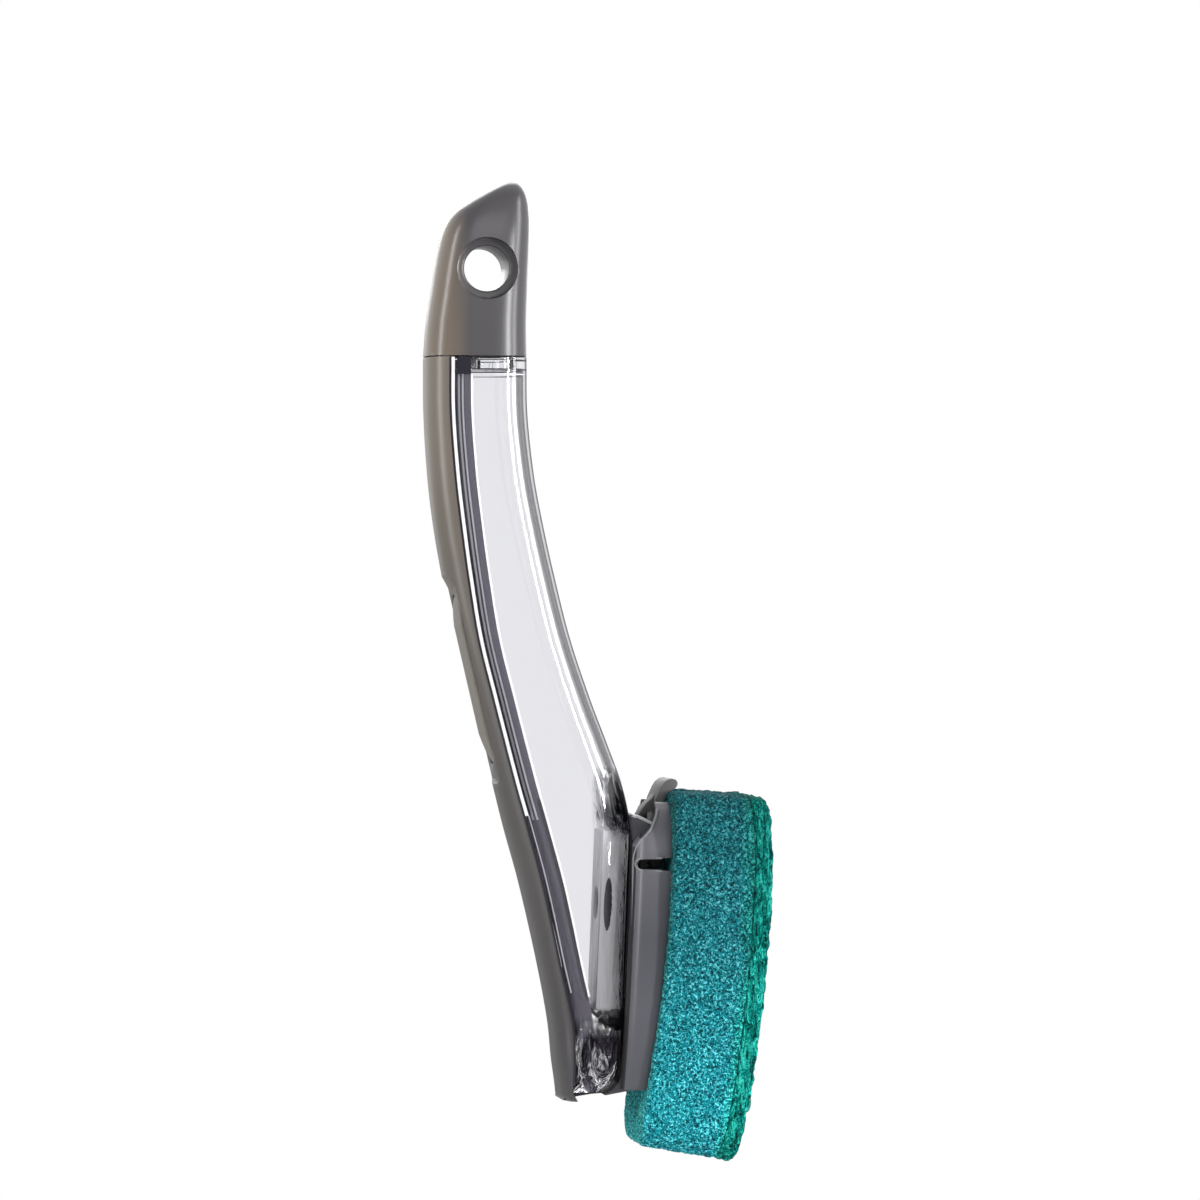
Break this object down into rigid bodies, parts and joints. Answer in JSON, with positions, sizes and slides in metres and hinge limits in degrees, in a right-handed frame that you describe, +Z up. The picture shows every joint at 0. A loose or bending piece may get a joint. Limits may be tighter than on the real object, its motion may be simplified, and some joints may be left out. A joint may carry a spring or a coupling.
{
  "type": "dish wand",
  "caption": "Soap-dispensing dish wand with a clear curved reservoir handle, push button, pull-off hanging cap and slide-off sponge head with a scrub face.",
  "frame": {"origin": "centre of the hanging hole in the cap", "axes": "+Z up along the wand towards the cap, +X towards the scrub face, Y across the wand along the hanging hole"},
  "size_m": [0.0828, 0.0522, 0.2391],
  "materials": {
    "cap_taupe": "satin",
    "spine_taupe": "satin",
    "button_taupe": "matte, soft touch",
    "clear_body": "clear gloss",
    "frame_grey": "satin",
    "outlet_grey": "satin",
    "head_grey": "satin",
    "plate_grey": "matte",
    "inner_white": "satin",
    "seal_black": "matte",
    "spring_steel": "bright",
    "sponge_teal": "open-cell foam",
    "scrub_green": "non-woven scouring fibre"
  },
  "bodies": {
    "cap": {"cap_shell": "cap_taupe", "cap_plug": "inner_white", "cap_seal_ring": "seal_black"},
    "handle": {"reservoir_shell": "clear_body", "spine_cover": "spine_taupe", "inner_frame": "frame_grey", "return_spring": "spring_steel", "outlet_housing": "outlet_grey", "slit_valve": "seal_black", "valve_retainer": "inner_white", "soap_nozzle": "outlet_grey", "nozzle_seal": "seal_black", "head_rail": "head_grey", "plunger_seal": "seal_black"},
    "button": {"soap_button": "button_taupe", "button_plunger": "inner_white"},
    "head": {"head_shell": "head_grey", "backing_plate": "plate_grey", "sponge": "sponge_teal", "scrub_layer": "scrub_green"},
    "release_tab": {"release_tab": "head_grey"}
  },
  "joints": [
    {"name": "cap_pull", "type": "slide", "parent": "cap", "child": "handle", "axis": [0, 0, -1], "range_m": [0, 0.02]},
    {"name": "button_press", "type": "slide", "parent": "handle", "child": "button", "axis": [0.9744, 0, 0.225], "range_m": [0, 0.0016], "stiffness_N_per_m": 1500},
    {"name": "head_slide", "type": "slide", "parent": "handle", "child": "head", "axis": [-0.0419, 0, -0.9991], "range_m": [0, 0.05]},
    {"name": "tab_press", "type": "hinge", "parent": "head", "child": "release_tab", "pos_m": [0.0416, 0, -0.1446], "axis": [0, 1, 0], "range_deg": [0, 8], "stiffness_Nm_per_rad": 0.6}
  ]
}
